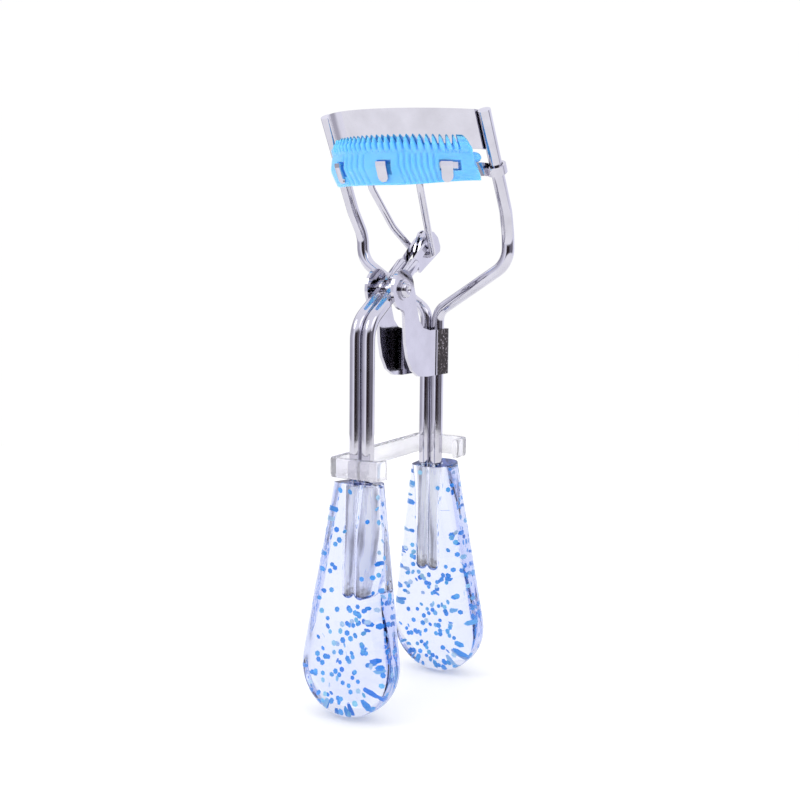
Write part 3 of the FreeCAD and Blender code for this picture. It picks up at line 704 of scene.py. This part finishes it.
def build_glitter(name, body, count):
    """Foil flakes cast in a handle, most of them lying near its faces' plane."""
    x, y = HANDLE_TOPS[body]
    turn = Matrix.Rotation(math.copysign(HANDLE_TILT, y), 3, "X")
    top = Vector((x, y, HANDLE_TOP_Z))
    verts, faces = [], []
    for spot in flake_spots(count):
        corners, sides = hexagon(random.uniform(SMALL_FLAKE, LARGE_FLAKE))
        tip = math.radians(random.gauss(0, FLAKE_TIP))
        spin = Matrix.Rotation(random.uniform(0, 2 * math.pi), 3, "Y")
        tip_axis = Vector((random.gauss(0, 1), 0, random.gauss(0, 1))).normalized()
        lean = Matrix.Rotation(tip, 3, tip_axis)
        start = len(verts)
        verts += [tuple(top + turn @ (spot + lean @ (spin @ corner))) for corner in corners]
        faces += [tuple(start + k for k in side) for side in sides]
    piece = new_piece(name, verts, faces, FOIL, sharp=20)
    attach(piece, body)


build_glitter("front_glitter", "lever", 165)
build_glitter("rear_glitter", "frame", 180)

# ------------------------------------------------------------------ floor, light, camera
FLOOR_RADIUS = 330
FLOOR_DROP = 0.2
# the room that polished metal mirrors, as degrees round from +X and colour
DIM, DARK, LIGHT = (0.44, 0.43, 0.49), (0.028, 0.020, 0.022), (0.80, 0.80, 0.90)
ROOM_SIDES = [
    (-180, DIM), (-150, DIM), (-126, (0.62, 0.62, 0.70)), (-100, (0.92, 0.92, 1.0)), (-84, DARK),
    (-50, DARK), (-38, (0.09, 0.085, 0.10)), (-18, (0.16, 0.15, 0.18)), (2, (0.21, 0.20, 0.24)),
    (13, (0.13, 0.12, 0.14)), (24, (0.06, 0.052, 0.06)), (38, LIGHT), (92, LIGHT),
    (122, (0.36, 0.35, 0.41)), (180, DIM),
]
ROOM_ENDS = (0.86, 0.86, 0.92, 1.0)
ROOM_PLAIN = (0.74, 0.74, 0.74, 1.0)
ROOM_STRENGTH = 1.36
LAMPS_AIM = Vector((0, 0, 0.06))


def build_floor():
    """A round pale table top."""
    outline = ((FLOOR_RADIUS, -6), (FLOOR_RADIUS, -1), (FLOOR_RADIUS - 1, 0))
    turns = [2 * math.pi * k / 64 for k in range(64)]
    verts, faces = loft([[(r * math.cos(a), r * math.sin(a), z) for a in turns] for r, z in outline])
    floor = new_piece("floor", verts, faces, pale_table())
    floor.location.z = -FLOOR_DROP * MM


def build_world():
    """An evenly white room, except that mirror reflections see dark and light sides in it."""
    world = bpy.data.worlds.new("studio")
    SCENE.world = world
    world.use_nodes = True
    n = Nodes(world.node_tree, "Generated")
    turn = n.calc("ARCTAN2", n.axis("Y"), n.axis("X"))
    stops = [((degrees + 180) / 360, colour) for degrees, colour in ROOM_SIDES]
    sides = n.ramp(n.span(turn, 0.0, 1.0, -math.pi, math.pi), stops)
    above = n.span(n.axis("Z"), 0.0, 1.0, 0.3, 0.56, "SMOOTHSTEP")
    below = n.span(n.axis("Z"), 0.0, 1.0, -0.15, -0.24, "SMOOTHSTEP")
    room = n.mix(n.calc("ADD", above, below), sides, ROOM_ENDS)
    path = n.node("ShaderNodeLightPath").outputs
    in_open = n.calc("LESS_THAN", path["Transmission Depth"], 0.5)
    mirrored = n.calc("MULTIPLY", in_open, path["Is Glossy Ray"])
    background = n.tree.nodes["Background"].inputs
    n.put(background["Color"], n.mix(mirrored, ROOM_PLAIN, room))
    n.put(background["Strength"], ROOM_STRENGTH)


def build_lamp(name, spot, size, watts):
    """A round soft lamp aimed at the middle of the object."""
    lamp = bpy.data.lights.new(name, "AREA")
    lamp.shape = "DISK"
    lamp.size = size
    lamp.energy = watts
    obj = bpy.data.objects.new(name, lamp)
    obj.location = spot
    obj.rotation_euler = (LAMPS_AIM - Vector(spot)).to_track_quat("-Z", "Y").to_euler()
    SCENE.collection.objects.link(obj)


def build_camera():
    """The viewing angle: a little above, from the front right."""
    azimuth, height, roll = math.radians(31.05), math.radians(7.14), math.radians(-0.58)
    target, distance = Vector((-0.00113, 0.00255, 0.05617)), 0.25023
    back = Vector((math.sin(azimuth) * math.cos(height), -math.cos(azimuth) * math.cos(height),
                   math.sin(height)))
    right = Vector((math.cos(azimuth), math.sin(azimuth), 0))
    up = back.cross(right)
    c, s = math.cos(roll), math.sin(roll)
    place = Matrix((right * c - up * s, right * s + up * c, back)).transposed().to_4x4()
    place.translation = target + back * distance
    data = bpy.data.cameras.new("camera")
    data.lens = 59.28
    data.sensor_width = 36
    data.clip_start = 0.01
    camera = bpy.data.objects.new("camera", data)
    camera.matrix_world = place
    SCENE.collection.objects.link(camera)
    SCENE.camera = camera


build_floor()
build_world()
build_lamp("key", (-0.35, -0.45, 0.55), 0.35, 0.8)
build_lamp("fill", (0.5, -0.1, 0.4), 0.4, 0.3)
build_camera()
SCENE.view_settings.view_transform = "Standard"
